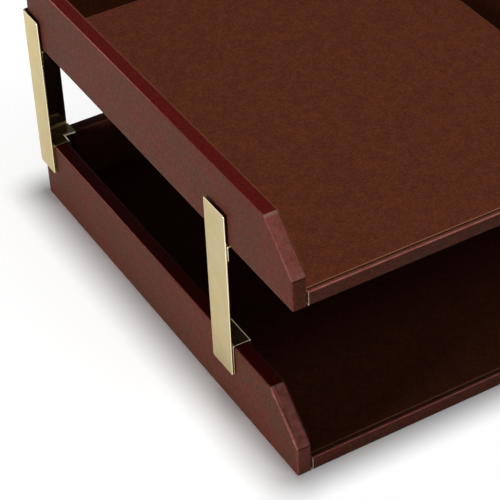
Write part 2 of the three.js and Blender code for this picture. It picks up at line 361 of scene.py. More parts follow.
def mixColour(tree, share, first, second, blend="MIX"):
    node = addNode(tree, "Mix", data_type="RGBA", blend_type=blend)
    for socket, value in ((0, share), (6, first), (7, second)):
        setSocket(tree, node, socket, value)
    return node.outputs[2]


def tone(tree, colour, value, low, high):
    # The colour times a grey that runs from low to high with the noise value.
    return mixColour(tree, 1.0, colour, remap(tree, value, *noiseSpan, low, high), "MULTIPLY")


def markValue(tree, name):
    return addNode(tree, "Attribute", attribute_name=name).outputs["Fac"]


def bump(tree, height, depth, under=None):
    inputs = {"Height": height, "Distance": depth * mm}
    if under is not None:
        inputs["Normal"] = under
    return addNode(tree, "Bump", inputs).outputs["Normal"]


def newMaterial(name):
    material = bpy.data.materials.new(name)
    material.use_nodes = True
    return material, material.node_tree


def setShader(tree, sockets):
    for socket, value in sockets.items():
        setSocket(tree, tree.nodes["Principled BSDF"], socket, value)


# The finishes. A noise has its features to a metre, its detail, its roughness and maybe its stretch. A range
# such as darkInBlotches says between which two values of a noise a colour comes in. It says how much of it
# there is at both, or it goes from none to all.

leatherLook = dict(
    base=hexColour("612c24"),
    brown=hexColour("443424"),
    dark=hexColour("401812"),
    # painted shade: tops and back ends get a deeper, darker red than the sides, for how they look under this
    # light
    paintedTopShade=hexColour("4a0706"),
    # the paler colour of worn edges and of painted highlights
    wornAndLit=hexColour("b56a64"),
    crease=hexColour("86695c"),
    # painted shade: the colour of folds, creases and the underside
    fold=hexColour("0f0504"),
    cut=hexColour("d8bd9c"),
    clouds=(26, 4, 0.6),
    blotches=(340, 4, 0.65),
    speckles=(640, 4, 0.8),
    scuffs=(210, 5, 0.7),
    wrinkles=(620, 4, 0.65),
    brownInClouds=(0.35, 0.7, 0.0, 0.4),
    brownInBlotches=(0.35, 0.6, 0.6, 0.0),
    darkInBlotches=(0.45, 0.75, 0.0, 0.3),
    wornAndLitInScuffs=(0.36, 0.62, 0.45, 1.0),
    creaseInBlotches=(0.3, 0.6, 0.35, 1.0),
    contrast=(0.55, 1.45),  # of the speckles
    pebbles=900,  # to a metre
    pebbleRound=(0.1, 0.6, 1.0, 0.0),  # height from the middle of a pebble to its edge
    pebbleDepth=0.04,  # mm
    wrinkleDepth=0.02,  # mm
    roughness=(0.38, 0.48),
    specular=0.02,
)


def leatherFinish():
    # Burgundy leather clouded with brown, finely pebbled, and paler where it is creased or cut, or worn and
    # painted with highlights, and painted darker as shade on tops, in folds and underneath
    material, tree = newMaterial("burgundyLeather")
    look = leatherLook
    cloud = noise(tree, *look["clouds"])
    blotch = noise(tree, *look["blotches"])
    brownCloud = remap(tree, cloud, *look["brownInClouds"])
    brownBlotch = remap(tree, blotch, *look["brownInBlotches"])
    colour = mixColour(tree, combine(tree, "ADD", brownCloud, brownBlotch), look["base"], look["brown"])
    # painted shade: a darker red on the tops and back ends
    colour = mixColour(tree, markValue(tree, "paintedTopShade"), colour, look["paintedTopShade"])
    colour = mixColour(tree, remap(tree, blotch, *look["darkInBlotches"]), colour, look["dark"])
    colour = tone(tree, colour, noise(tree, *look["speckles"]), *look["contrast"])
    # paler in patches where worn, and where highlights are painted
    scuffs = remap(tree, noise(tree, *look["scuffs"]), *look["wornAndLitInScuffs"])
    wearAndHighlight = combine(tree, "MULTIPLY", markValue(tree, "wearAndHighlight"), scuffs)
    colour = mixColour(tree, wearAndHighlight, colour, look["wornAndLit"])
    patchy = remap(tree, blotch, *look["creaseInBlotches"])
    creased = combine(tree, "MULTIPLY", markValue(tree, "crease"), patchy)
    colour = mixColour(tree, creased, colour, look["crease"])
    # painted shade in folds, creases and underneath
    colour = mixColour(tree, markValue(tree, "fold"), colour, look["fold"])
    colour = mixColour(tree, markValue(tree, "cut"), colour, look["cut"])
    domes = remap(tree, pebbles(tree, look["pebbles"]), *look["pebbleRound"])
    normal = bump(tree, domes, look["pebbleDepth"])
    normal = bump(tree, noise(tree, *look["wrinkles"]), look["wrinkleDepth"], normal)
    roughness = remap(tree, blotch, *noiseSpan, *look["roughness"])
    setShader(tree, {"Base Color": colour, "Roughness": roughness, "Normal": normal})
    setShader(tree, {"Specular IOR Level": look["specular"]})
    return material


suedeLook = dict(
    warm=hexColour("582b17"),
    cool=hexColour("4e2417"),
    dark=hexColour("3d1a10"),
    edge=hexColour("714227"),
    # a painted highlight along the floor panel's rounded rim
    rim=hexColour("94664b"),
    patches=(150, 5, 0.7),
    streaks=(420, 4, 0.65, (1, 1.6, 1)),
    nap=(700, 4, 0.8),
    warmInPatches=(0.36, 0.64),
    darkInStreaks=(0.46, 0.68, 0.0, 0.6),
    contrast=(0.6, 1.4),  # of the nap
    markShare=0.8,  # how far a cut edge or a rim takes its own colour
    napDepth=0.05,  # mm
    streakDepth=0.08,  # mm
    roughness=0.95,
    specular=0.05,
    sheen=0.02,
    sheenRoughness=0.5,
)


def suedeFinish():
    # Brown suede in warm and cool patches with darker streaks, paler on its raw edges, with a painted
    # highlight along the rim
    material, tree = newMaterial("brownSuede")
    look = suedeLook
    patches = noise(tree, *look["patches"])
    streaks = noise(tree, *look["streaks"])
    nap = noise(tree, *look["nap"])
    colour = mixColour(tree, remap(tree, patches, *look["warmInPatches"]), look["cool"], look["warm"])
    colour = mixColour(tree, remap(tree, streaks, *look["darkInStreaks"]), colour, look["dark"])
    colour = tone(tree, colour, nap, *look["contrast"])
    # paler on raw cut edges, and a painted highlight on the rim
    for mark, paler in (("cut", look["edge"]), ("rim", look["rim"])):
        share = combine(tree, "MULTIPLY", markValue(tree, mark), look["markShare"])
        colour = mixColour(tree, share, colour, paler)
    normal = bump(tree, streaks, look["streakDepth"], bump(tree, nap, look["napDepth"]))
    setShader(tree, {"Base Color": colour, "Roughness": look["roughness"], "Normal": normal})
    setShader(tree, {"Specular IOR Level": look["specular"]})
    setShader(tree, {"Sheen Weight": look["sheen"], "Sheen Roughness": look["sheenRoughness"]})
    return material


brassLook = dict(
    base=hexColour("beb08f"),
    warm=hexColour("baa57a"),
    pale=hexColour("c3b79f"),
    edge=hexColour("f9ecc2"),
    glance=hexColour("fff6d8"),  # where it is seen at a low angle
    clouds=(60, 3, 0.5),
    smears=(200, 4, 0.65, (1, 1, 0.6)),
    brushing=(700, 3, 0.6, (1, 1, 0.05)),
    warmInClouds=(0.4, 0.68, 0.0, 0.6),
    paleInSmears=(0.44, 0.66, 0.0, 0.6),
    brushDepth=0.0025,  # mm
    roughness=(0.13, 0.2),
    rubbedRoughness=0.35,  # more of it where a fold is rubbed
    polishedEdge=dict(mottle=(300, 3, 0.55), contrast=(0.92, 1.05), roughness=0.15),
)


def brassFinish():
    # Brass sheet with a fine brushed grain, paler and rougher on its bends, from wear and a painted highlight
    material, tree = newMaterial("brushedBrass")
    look = brassLook
    cloud = noise(tree, *look["clouds"])
    smears = noise(tree, *look["smears"])
    colour = mixColour(tree, remap(tree, cloud, *look["warmInClouds"]), look["base"], look["warm"])
    colour = mixColour(tree, remap(tree, smears, *look["paleInSmears"]), colour, look["pale"])
    # paler bends, from wear and a painted highlight
    colour = mixColour(tree, markValue(tree, "wearAndHighlight"), colour, look["edge"])
    roughness = remap(tree, smears, *noiseSpan, *look["roughness"])
    wearAndHighlight = combine(tree, "MULTIPLY", markValue(tree, "wearAndHighlight"), look["rubbedRoughness"])
    roughness = combine(tree, "ADD", roughness, wearAndHighlight)
    normal = bump(tree, noise(tree, *look["brushing"]), look["brushDepth"])
    setShader(tree, {"Base Color": colour, "Metallic": 1.0, "Roughness": roughness, "Normal": normal})
    setShader(tree, {"Specular Tint": look["glance"]})
    return material


def brassEdgeFinish():
    # The polished edges of the plates, brighter than their faces
    material, tree = newMaterial("polishedBrassEdge")
    look = brassLook["polishedEdge"]
    colour = tone(tree, brassLook["edge"], noise(tree, *look["mottle"]), *look["contrast"])
    setShader(tree, {"Base Color": colour, "Metallic": 1.0, "Roughness": look["roughness"]})
    return material


# Felt and fibreboard are fibres over two shades in patches.

feltLook = dict(
    name="darkFelt",
    shades=(hexColour("2c1c17"), hexColour("38241c")),
    fibres=(1300, 5, 0.75),
    patches=(60, 3, 0.55),
    paleInPatches=(0.35, 0.65),
    contrast=(0.7, 1.3),
    fibreDepth=0.25,  # mm
    roughness=1.0,
    specular=0.1,
    sheen=0.2,
)
boardLook = dict(
    name="rawFibreboard",
    shades=(hexColour("8f7350"), hexColour("9c805c")),
    fibres=(1500, 5, 0.7, (1, 0.3, 3)),
    patches=(90, 3, 0.55),
    paleInPatches=(0.35, 0.65),
    contrast=(0.82, 1.18),
    fibreDepth=0.08,  # mm
    roughness=0.9,
    specular=0.2,
    sheen=0.0,
)


def fibreFinish(look):
    material, tree = newMaterial(look["name"])
    fibres = noise(tree, *look["fibres"])
    patches = remap(tree, noise(tree, *look["patches"]), *look["paleInPatches"])
    colour = mixColour(tree, patches, *look["shades"])
    colour = tone(tree, colour, fibres, *look["contrast"])
    setShader(tree, {"Base Color": colour, "Roughness": look["roughness"]})
    setShader(tree, {"Specular IOR Level": look["specular"], "Sheen Weight": look["sheen"]})
    setShader(tree, {"Normal": bump(tree, fibres, look["fibreDepth"])})
    return material


finishes = {
    "leather": leatherFinish(),
    "suede": suedeFinish(),
    "brass": brassFinish(),
    "brassEdge": brassEdgeFinish(),
    "felt": fibreFinish(feltLook),
    "fibreboard": fibreFinish(boardLook),
}
print("materials made")

# Side walls: leather wrapped round a board whose front end slopes

wall = dict(
    frontHeight=22,  # upright part of the front end
    slopeRun=29,
    skin=0.9,  # thickness of the leather
    edge=1.0,  # rounding of the long edges
    bend=2.2,  # rounding where the slope meets the top
    hem=0.1,  # foot of the leather over the foot of the tray
    hemWidth=5,
    tuck=7,  # below this the inner face is open for the base board
    openFrom=2.2,  # from the front, where that opening starts
    uneven=0.03,
    fineStep=1.2,  # between points along the slope
    step=2.6,  # and along the level top
    bendSteps=8,  # quads round the bend between them
    afterBend=3,  # stretch behind the bend with smaller quads
    afterSteps=4,
    lowRows=3,  # quads up to the tuck
    highRows=20,  # and from there to the top
    edgeSteps=6,  # quads round a long edge
    rimSteps=4,  # and from it across the hem
    rimPlaces=(6.2, 7.4),  # further points across the rim, past the hem
)

wallRise = (wallHeight - wall["frontHeight"]) / wall["slopeRun"]
slope = np.arctan(wallRise)
coreTop = wallHeight - wall["edge"]  # The core is the wall drawn in by the rounding of its edges.
coreFoot = wall["hem"] + wall["edge"]
bendRadius = wall["bend"] - wall["edge"]
slantLift = wall["edge"] * np.hypot(1, wallRise)
bendEnd = front + (coreTop - wall["frontHeight"] + slantLift) / wallRise + bendRadius * np.tan(slope / 2)
bendStart = bendEnd - bendRadius * np.sin(slope)
openStart = front + wall["openFrom"]
tuckStart = back - coveredWall + wall["skin"]  # from here the back wall covers the inner face
hemStart, hemEnd = front + wall["hemWidth"], back - wall["hemWidth"]

# How worn the leather is, and where highlights and shade are painted on it. A point of the rim faces 0 degrees
# at the back, 90 on top and 180 in front. The first four say at how many degrees a stretch starts, is full,
# fades and ends. A crease, a line of painted shade and a line have their place and width in mm.

wearAndLight = dict(
    back=(-60, -20, 20, 60),
    top=(60, 85, 93, 118),
    slope=(93, 118, 140, 172),
    front=(140, 172, 190, 250),
    underneath=(185, 225),  # degrees between which the painted shade underneath comes in
    underneathDark=0.85,
    # how pale each stretch of the rounded edges turns, from wear and painted highlights
    edges=dict(top=0.1, behind=0.85, slope=0.15, front=0.1, back=0.3),
    behind=(-60, 70),  # mm along the tray, where the top edges grow paler, from wear and a stronger painted highlight
    edgeAt=0.35,  # share of an edge's rounding
    outerWidth=0.19,
    innerWidth=0.3,
    innerShare=0.4,
    # painted highlight over the whole slope, and paler lower fronts for painted light, by tier
    wholeSlope={"lower": 0.6, "upper": 0.24},
    wholeFront={"lower": 0.16, "upper": 0},
    flatRim=(0.1, 0.6, 0.7),  # mm from a face: where it starts, is full, and is full at the inner face
    topCrease=(-1.3, 0.75),  # from the end of the bend
    topCreaseFade=(1.25, 0.07),  # its strength at the outer face, and the loss to a mm across
    pastTop=91,  # the crease is on what faces further forward
    slopeCrease=(0.9, 0.6),  # from the foot of the slope
    creaseShares=(0.85, 0.6),  # of the top and the slope crease
    # a painted shade line on the front face, under the foot of the slope
    frontShadeLine=(-0.5, 0.4),  # from the foot of the slope
    # a painted shadow line along the overlap's edge, and a painted highlight line beside it
    overlap=dict(foot=1.3, run=1.6, dark=0.6, width=0.28, wornAndLit=0.35, highlightLine=(-0.7, 0.4)),
    # share of the darker red painted on tops and back ends as shade
    topShadeShare=0.9,
)


def slantHeight(y, inset):
    # Height of the slanted end's line at y, moved in by the inset.
    return wall["frontHeight"] + wallRise * (y - front) - inset * np.hypot(1, wallRise)


def coreEdge(y):
    # Height of the core's upper edge at y, and its slope: up the slanted end, round an arc, then level. The
    # arc is sqrt(r^2 - d^2) at a distance d before its end, kept just short of r, where it would be upright.
    away = np.clip(y - bendEnd, -bendRadius * 0.999, 0)
    arc = np.sqrt(bendRadius**2 - away**2)
    height = np.where(y < bendStart, slantHeight(y, wall["edge"]), coreTop - bendRadius + arc)
    steep = np.where(y < bendStart, wallRise, -away / arc)
    return height, steep


def wallMarks(tier, facing, crossing, y, z):
    # How worn each point is, and where light and shade are painted: paler along rounded edges, from wear and
    # painted highlights, and painted paler over the slopes; creased at both ends of the slope; painted dark as
    # shade in folds and underneath, and a darker red painted on top.
    stretches = [between(facing, *wearAndLight[name]) for name in ("back", "top", "slope", "front")]
    onBack, onTop, onSlope, onFront = stretches
    inset = wall["edge"] * wearAndLight["edgeAt"]
    outerEdge = ridge(crossing, inset, wearAndLight["outerWidth"])
    innerEdge = ridge(crossing, coveredWall - inset, wearAndLight["innerWidth"])
    edges = wearAndLight["edges"]
    along = onTop * (edges["top"] + edges["behind"] * smoothStep(y, *wearAndLight["behind"]))
    along = along + onSlope * edges["slope"] + onFront * edges["front"] + onBack * edges["back"]
    # paler along the rounded edges from wear and painted highlights, and painted highlights over slopes and
    # lower fronts
    wearAndHighlight = (outerEdge + wearAndLight["innerShare"] * innerEdge) * along
    wearAndHighlight = wearAndHighlight + wearAndLight["wholeSlope"][tier] * onSlope + wearAndLight["wholeFront"][tier] * onFront

    clear, full, fading = wearAndLight["flatRim"]
    flat = between(crossing, clear, full, coveredWall - fading, coveredWall - clear)
    place, width = wearAndLight["topCrease"]
    strength, loss = wearAndLight["topCreaseFade"]
    forward = facing > wearAndLight["pastTop"]
    upper = ridge(y, bendEnd + place, width) * forward * flat * (strength - loss * crossing)
    place, width = wearAndLight["slopeCrease"]
    lower = ridge(z, wall["frontHeight"] + place, width) * onSlope * flat
    upperShare, lowerShare = wearAndLight["creaseShares"]
    place, width = wearAndLight["frontShadeLine"]
    fold = ridge(z, wall["frontHeight"] + place, width) * onFront * flat
    if tier == "lower":
        # The leather overlaps itself in a line that nears the outer edge down the slope. The overlap isn't
        # built:
        # a painted shadow line and a painted highlight beside it stand in for it.
        overlap = wearAndLight["overlap"]
        up = np.clip((z - wall["frontHeight"]) / (wallHeight - wall["frontHeight"]), 0, 1)
        seam = crossing - overlap["foot"] - overlap["run"] * up
        fold = fold + overlap["dark"] * ridge(seam, 0, overlap["width"]) * onSlope
        wearAndHighlight = wearAndHighlight + overlap["wornAndLit"] * ridge(seam, *overlap["highlightLine"]) * onSlope
    return {
        "wearAndHighlight": wearAndHighlight,
        "crease": upperShare * upper + lowerShare * lower,
        # painted shade in the crease below the slope, beside the overlap and underneath
        "fold": fold + wearAndLight["underneathDark"] * smoothStep(facing, *wearAndLight["underneath"]),
        # painted shade: tops and back ends a darker red
        "paintedTopShade": wearAndLight["topShadeShare"] * (onTop + onBack) * flat,
    }


def wallGrid():
    # The core seen from the side: places along it, the height and slope of its upper edge there, and rows of
    # heights from its foot to that edge.
    afterBend = bendEnd + np.linspace(0, wall["afterBend"], wall["afterSteps"] + 1)
    columns = [
        spaced(front + wall["edge"], bendStart, wall["fineStep"], openStart, hemStart),
        np.linspace(bendStart, bendEnd, wall["bendSteps"] + 1),
        afterBend,
        spaced(afterBend[-1], back - wall["edge"], wall["step"], hemEnd, tuckStart),
    ]
    columns = np.unique(np.concatenate(columns))
    crest, steep = coreEdge(columns)
    lowRows = np.linspace(coreFoot, wall["tuck"], wall["lowRows"] + 1)
    lowRows = np.repeat(lowRows[:, None], len(columns), axis=1)
    share = np.linspace(0, 1, wall["highRows"] + 1)[1:, None]
    rows = np.concatenate([lowRows, wall["tuck"] + share * (crest - wall["tuck"])])
    return columns, crest, steep, rows


def wallRim(columns, crest, steep, rows):
    # The rim between the wall's two faces: its points, and the way that each row of them faces. The line runs
    # round the core as (y, z, the way it faces), and turns on the spot at each sharp corner.
    edge = wall["edge"]
    quarter = quarterTurn(shaping["roundSteps"])
    slant = np.pi / 2 + np.arctan(steep[0])
    line = [
        (columns, coreFoot, -np.pi / 2),
        (columns[-1], coreFoot, quarter - np.pi / 2),
        (columns[-1], rows[:, -1], 0),
        (columns[-1], crest[-1], quarter),
        (columns[::-1], crest[::-1], np.pi / 2 + np.arctan(steep[::-1])),
        (columns[0], crest[0], np.linspace(slant, np.pi, len(quarter))),
        (columns[0], rows[::-1, 0], np.pi),
        (columns[0], coreFoot, quarter + np.pi),
    ]
    line = np.concatenate([np.column_stack(np.broadcast_arrays(*part)) for part in line])

    # Across the thickness: a quarter round, the flat rim, and a quarter round to the inner face.
    turn = quarterTurn(wall["edgeSteps"])
    flat = np.linspace(edge, wall["hemWidth"], wall["rimSteps"] + 1)[1:]
    flat = np.concatenate([flat, wall["rimPlaces"]])
    crossing = np.concatenate([edge - edge * np.cos(turn), flat, coveredWall - edge + edge * np.sin(turn)])
    swell = np.concatenate([edge * np.sin(turn), np.full(len(flat), edge), edge * np.cos(turn)])
    y = line[:, None, 0] + swell * np.cos(line[:, None, 2])
    z = line[:, None, 1] + swell * np.sin(line[:, None, 2])
    return np.stack([np.broadcast_to(crossing, y.shape), y, z], axis=-1), line[:, 2]


def rimFaces(rim, facing):
    # The rim's quads, without those underneath that lie inside the hem.
    x, y = np.moveaxis((rim[:-1, :-1] + rim[1:, 1:]) / 2, -1, 0)[:2]
    underneath = (facing[:-1] < -np.pi / 2 + 0.01)[:, None]
    insideHem = (y > hemStart) & (y < hemEnd) & (x > wall["hemWidth"])
    return gridFaces(*rim.shape[:2], 0, ~(underneath & insideHem))


def innerFaces(inner, first):
    # The inner face's quads, without those that the base board and the back wall cover.
    y, z = np.moveaxis((inner[:-1, :-1] + inner[1:, 1:]) / 2, -1, 0)[1:]
    tucked = (z < wall["tuck"]) & (y > openStart)
    lastRow = len(inner) - 2
    behindBack = (y > tuckStart) & (np.arange(len(inner) - 1) < lastRow)[:, None]
    return gridFaces(*inner.shape[:2], first, ~(tucked | behindBack))[:, ::-1]


def sideWall(tier, hand):
    side = hands[hand]
    columns, crest, steep, rows = wallGrid()
    rim, rimFacing = wallRim(columns, crest, steep, rows)
    outer = np.stack([np.zeros(rows.shape), np.broadcast_to(columns, rows.shape), rows], axis=-1)
    inner = outer + [coveredWall, 0, 0]
    rimCount = rim.shape[0] * rim.shape[1]
    faces = [
        rimFaces(rim, rimFacing),
        gridFaces(*rows.shape, rimCount),
        innerFaces(inner, rimCount + rows.size),
    ]
    faces = np.concatenate(faces)
    faces = faces[:, ::-1] if side == 1 else faces
    points = np.concatenate([part.reshape(-1, 3) for part in (rim, outer, inner)])
    unworn = np.full(2 * rows.size, -np.pi / 2)  # Both faces count as facing down, where nothing is worn.
    facing = np.concatenate([np.repeat(rimFacing, rim.shape[1]), unworn])
    piece = makePiece(
        f"{tier}{hand.title()}WallLeather",
        points * [-side, 1, 1] + [side * halfWidth, 0, footOf[tier]],
        faces,
        f"{tier}_tray",
        "leather",
        f"{tier}_{hand}_side_leather",
        wallMarks(tier, np.degrees(facing), *points.T),
        uneven=wall["uneven"],
        closed=False,
        seed=11 + side + 5 * tiers.index(tier),
    )
    skin = piece.modifiers.new("skin", "SOLIDIFY")
    skin.thickness = wall["skin"] * mm
    skin.offset = -1


# The leather over the back wall, folded round its board

backCover = dict(
    skin=0.9,
    edge=1.1,  # outer rounding of its folds
    hem=0.2,  # foot of the leather over the foot of the tray
    hemWidth=5,
    gap=0.3,  # to the side walls
    darkBelow=2,  # folds lower than this are painted dark, as shade
    step=3,
    uneven=0.05,
)


def backLeather(tier):
    middle = backCover["skin"] / 2
    low = backCover["hem"] + middle
    inner, outer = back - coveredWall + middle, back - middle
    top = wallHeight - middle
    hem = back - backCover["hemWidth"]
    end = halfWidth - coveredWall - backCover["gap"]
    foldedSheet(
        f"{tier}BackLeather",
        [(inner, wall["tuck"]), (inner, top), (outer, top), (outer, low), (hem, low)],
        backCover["skin"],
        lambda points, lengths: (-end, end),
        lambda y, z, x: (x, y, z + footOf[tier]),
        f"{tier}_tray",
        "leather",
        f"{tier}_back_leather",
        inside=backCover["edge"] - backCover["skin"],
        step=backCover["step"],
        # painted shade on the lowest folds
        dark=lambda y, z: z < backCover["darkBelow"],
        uneven=backCover["uneven"],
        seed=31 + tiers.index(tier),
    )


# The leather of the front lip, with its pale cut ends

lip = dict(
    skin=0.9,
    height=10.3,
    depth=3.4,
    rounding=1.05,  # outer rounding of its folds
    hem=0.1,  # foot of the leather over the foot of the tray
    hemWidth=5,
    gap=0.3,  # to the side walls
    darkBelow=2,  # folds lower than this are painted dark as shade, and so is the rear one, in the groove
    step=2,
    uneven=0.08,
    # the front fold paler, from wear and a painted highlight
    wornAndLit=0.75,
)


def lipLeather(tier):
    middle = lip["skin"] / 2
    near, far = front + middle, front + lip["depth"] - middle
    low, high = lip["hem"] + middle, lip["height"] - middle
    hem = front + lip["hemWidth"]
    end = halfWidth - linedWall - lip["gap"]
    foldedSheet(
        f"{tier}LipLeather",
        [(hem, low), (near, low), (near, high), (far, high), (far, wall["tuck"])],
        lip["skin"],
        lambda points, lengths: (-end, end),
        lambda y, z, x: (x, y, z + footOf[tier]),
        f"{tier}_tray",
        "leather",
        f"{tier}_front_lip_leather",
        inside=lip["rounding"] - lip["skin"],
        step=lip["step"],
        wornAndLit=lip["wornAndLit"],
        # painted shade on the lowest folds and in the groove behind the lip's top
        dark=lambda y, z: (z < lip["darkBelow"]) | (y > front + lip["depth"] / 2),
        uneven=lip["uneven"],
        seed=41 + tiers.index(tier),
    )


# Suede linings: a soft-edged panel on the floor, and thin ones with raw edges on the inner faces of the walls

lining = dict(
    edge=0.9,  # rounding of the floor panel's edges
    groove=0.4,  # left free all round the floor panel
    step=4,
    rim=(0.65, 0.3),  # where the floor panel's painted highlight lies and how wide, as shares of its rounding
    uneven=0.04,
    thickness=0.5,  # of the wall linings
    border=1.0,  # bare leather above them
    gap=0.3,  # at their ends
    bend=0.7,  # softness of the corner between the slope and the top
    sideEnds=(0.2, *range(2, 42, 2)),  # extra points near both ends, close enough to follow the slope
    backEnds=(0.2, 4, 12, 30, 60, 90),
    wallUneven=0.02,
)


def floorLining(tier):
    # A slab whose top falls by r - sqrt(r^2 - (r - d)^2) at a distance d under r from its nearest edge.
    low, high = nodeBox(f"{tier}_floor_lining")
    low[:2] += lining["groove"]
    high[:2] -= lining["groove"]
    radius = lining["edge"]
    turn = radius * (1 - np.cos(quarterTurn(shaping["roundSteps"])))
    axes = []
    for start, end in zip(low[:2], high[:2]):
        level = spaced(start + radius, end - radius, lining["step"])
        axes.append(np.unique(np.concatenate([start + turn, level, end - turn])))
    x, y = np.meshgrid(*axes, indexing="ij")
    acrossEdge = np.maximum(radius - np.minimum(x - low[0], high[0] - x), 0)
    alongEdge = np.maximum(radius - np.minimum(y - low[1], high[1] - y), 0)
    beyond = np.minimum(np.hypot(acrossEdge, alongEdge), radius)
    top = np.stack([x, y, high[2] - radius + np.sqrt(radius**2 - beyond**2)], axis=-1)
    bottom = np.stack([x, y, np.full(x.shape, low[2])], axis=-1)
    # Paler where the nap turns over the edge, with a painted highlight along it, and not underneath
    place, width = lining["rim"]
    rim = np.concatenate([ridge(beyond, place * radius, width * radius).ravel(), np.zeros(x.size)])
    makePiece(
        f"{tier}FloorLining",
        np.stack([top, bottom]),
        shellFaces(*x.shape),
        f"{tier}_tray",
        "suede",
        f"{tier}_floor_lining",
        {"rim": rim},
        uneven=lining["uneven"],
        seed=51 + tiers.index(tier),
    )


def liningTop(y):
    # Upper edge of a side lining, the wall's own edge line moved in by the bare leather border: the lesser of
    # the slanted and the level height, a and b, softened as b + (a - b - sqrt((a - b)^2 + r^2)) / 2.
    level = wallHeight - lining["border"]
    gap = slantHeight(y, lining["border"]) - level
    return level + (gap - np.hypot(gap, lining["bend"])) / 2


def sideLining(tier, hand):
    side = hands[hand]
    middle = linedWall - lining["thickness"] / 2
    near = front + lip["depth"] + lining["gap"]
    far = back - coveredWall - lining["gap"]
    foldedSheet(
        f"{tier}{hand.title()}WallLining",
        [(near, middle), (far, middle)],
        lining["thickness"],
        lambda points, lengths: (wall["tuck"], liningTop(points[..., 0])),
        lambda y, across, z: (side * (halfWidth - across), y, z + footOf[tier]),
        f"{tier}_tray",
        "suede",
        f"{tier}_{hand}_side_lining",
        ends=lining["sideEnds"],
        uneven=lining["wallUneven"],
        seed=61 + side,
    )


def backLining(tier):
    end = halfWidth - linedWall - lining["gap"]
    middle = back - linedWall + lining["thickness"] / 2
    foldedSheet(
        f"{tier}BackLining",
        [(-end, middle), (end, middle)],
        lining["thickness"],
        lambda points, lengths: (wall["tuck"], wallHeight - lining["border"]),
        lambda x, y, z: (x, y, z + footOf[tier]),
        f"{tier}_tray",
        "suede",
        f"{tier}_back_lining",
        ends=lining["backEnds"],
        uneven=lining["wallUneven"],
        seed=71,
    )


for tier in tiers:
    for hand in hands:
        sideWall(tier, hand)
        sideLining(tier, hand)
    backLeather(tier)
    backLining(tier)
    lipLeather(tier)
    floorLining(tier)
print("trays dressed")

# Posts: sheet brass folded over the walls, with softened edges, which are polished on the plates

post = dict(
    sheet=1,
    bend=0.5,  # inside of a fold
    clearance=0.3,
    corner=1.5,  # rounding of the plates' corners
    edge=0.42,  # softening of sharp edges
    edgeSteps=3,
    sharp=50,  # degrees over which an edge is softened
    width=24,
    setback=71,  # front edge of the tray to front edge of the front post
    rearLeg=22,
    clipDepth=21.2,
    shelfDepth=16,
    flange=10.7,
    step=1000,  # longer than any sheet, so that its run isn't divided
    rim=1.0,
    # bends paler and rougher, from wear and a painted highlight
    wornAndLit=1.0,
)
standOff = 2 * (post["clearance"] + post["sheet"])  # from a wall to the outer face of a plate
plateLow, plateHigh = nodeBox("left_front_post_plate")
plateMiddle = post["sheet"] / 2 - standOff  # middle of a plate's sheet, in from the wall's outer face
shelfTop = nodeBox("left_front_post_shelf")[1][2]


def clipPath():
    # An upside-down U over the wall, as (distance in from the wall's outer face, height)
    outer = -post["clearance"] - post["sheet"] / 2
    inner = linedWall + post["clearance"] + post["sheet"] / 2
    web = wallHeight + post["clearance"] + post["sheet"] / 2
    foot = wallHeight - post["clipDepth"]
    return [(outer, foot), (outer, web), (inner, web), (inner, foot)]


def shelfPath():
    # A flange turned down along the plate, and the shelf, in the same measures
    flange = -post["clearance"] - post["sheet"] / 2
    level = shelfTop - post["sheet"] / 2
    return [(flange, level - post["flange"]), (flange, level), (post["shelfDepth"], level)]


def plateRun(points, lengths):
    # A plate's foot and top, drawn in by r - sqrt(r^2 - (r - d)^2) at a distance d under r from its sides.
    radius = post["corner"]
    away = np.minimum(lengths, lengths[:, -1:] - lengths)
    drop = radius - np.sqrt(radius**2 - np.clip(radius - away, 0, radius) ** 2)
    return plateLow[2] + drop, plateHigh[2] - drop


def brassSheet(name, node, path, run, place):
    body = "_".join(node.split("_")[:3])
    plate = run is plateRun
    corner = post["corner"] * (1 - np.cos(quarterTurn(shaping["roundSteps"])))[1:]
    piece = foldedSheet(
        name,
        path,
        post["sheet"],
        run,
        place,
        body,
        "brass",
        node,
        inside=post["bend"],
        ends=corner if plate else (),
        step=post["step"],
        rim=post["rim"],
        wornAndLit=post["wornAndLit"],
        plain=True,
    )
    soft = piece.modifiers.new("softEdges", "BEVEL")
    if plate:
        piece.data.materials.append(finishes["brassEdge"])
        soft.material = 1
    soft.width = post["edge"] * mm
    soft.segments = post["edgeSteps"]
    soft.limit_method = "ANGLE"
    soft.angle_limit = np.radians(post["sharp"])
    soft.harden_normals = True


def frontPost(hand):
    side = hands[hand]
    near = front + post["setback"]
    far = near + post["width"]
    name = f"{hand}FrontPost"
    node = f"{hand}_front_post_"

    def alongWall(inward, up, y):
        return side * (halfWidth - inward), y, up

    def upright(y, inward, up):
        return alongWall(inward, up, y)

    def wallRun(points, lengths):
        return near, far

    brassSheet(name + "Plate", node + "plate", [(near, plateMiddle), (far, plateMiddle)], plateRun, upright)
    brassSheet(name + "Clip", node + "clip", clipPath(), wallRun, alongWall)
    brassSheet(name + "Shelf", node + "shelf", shelfPath(), wallRun, alongWall)


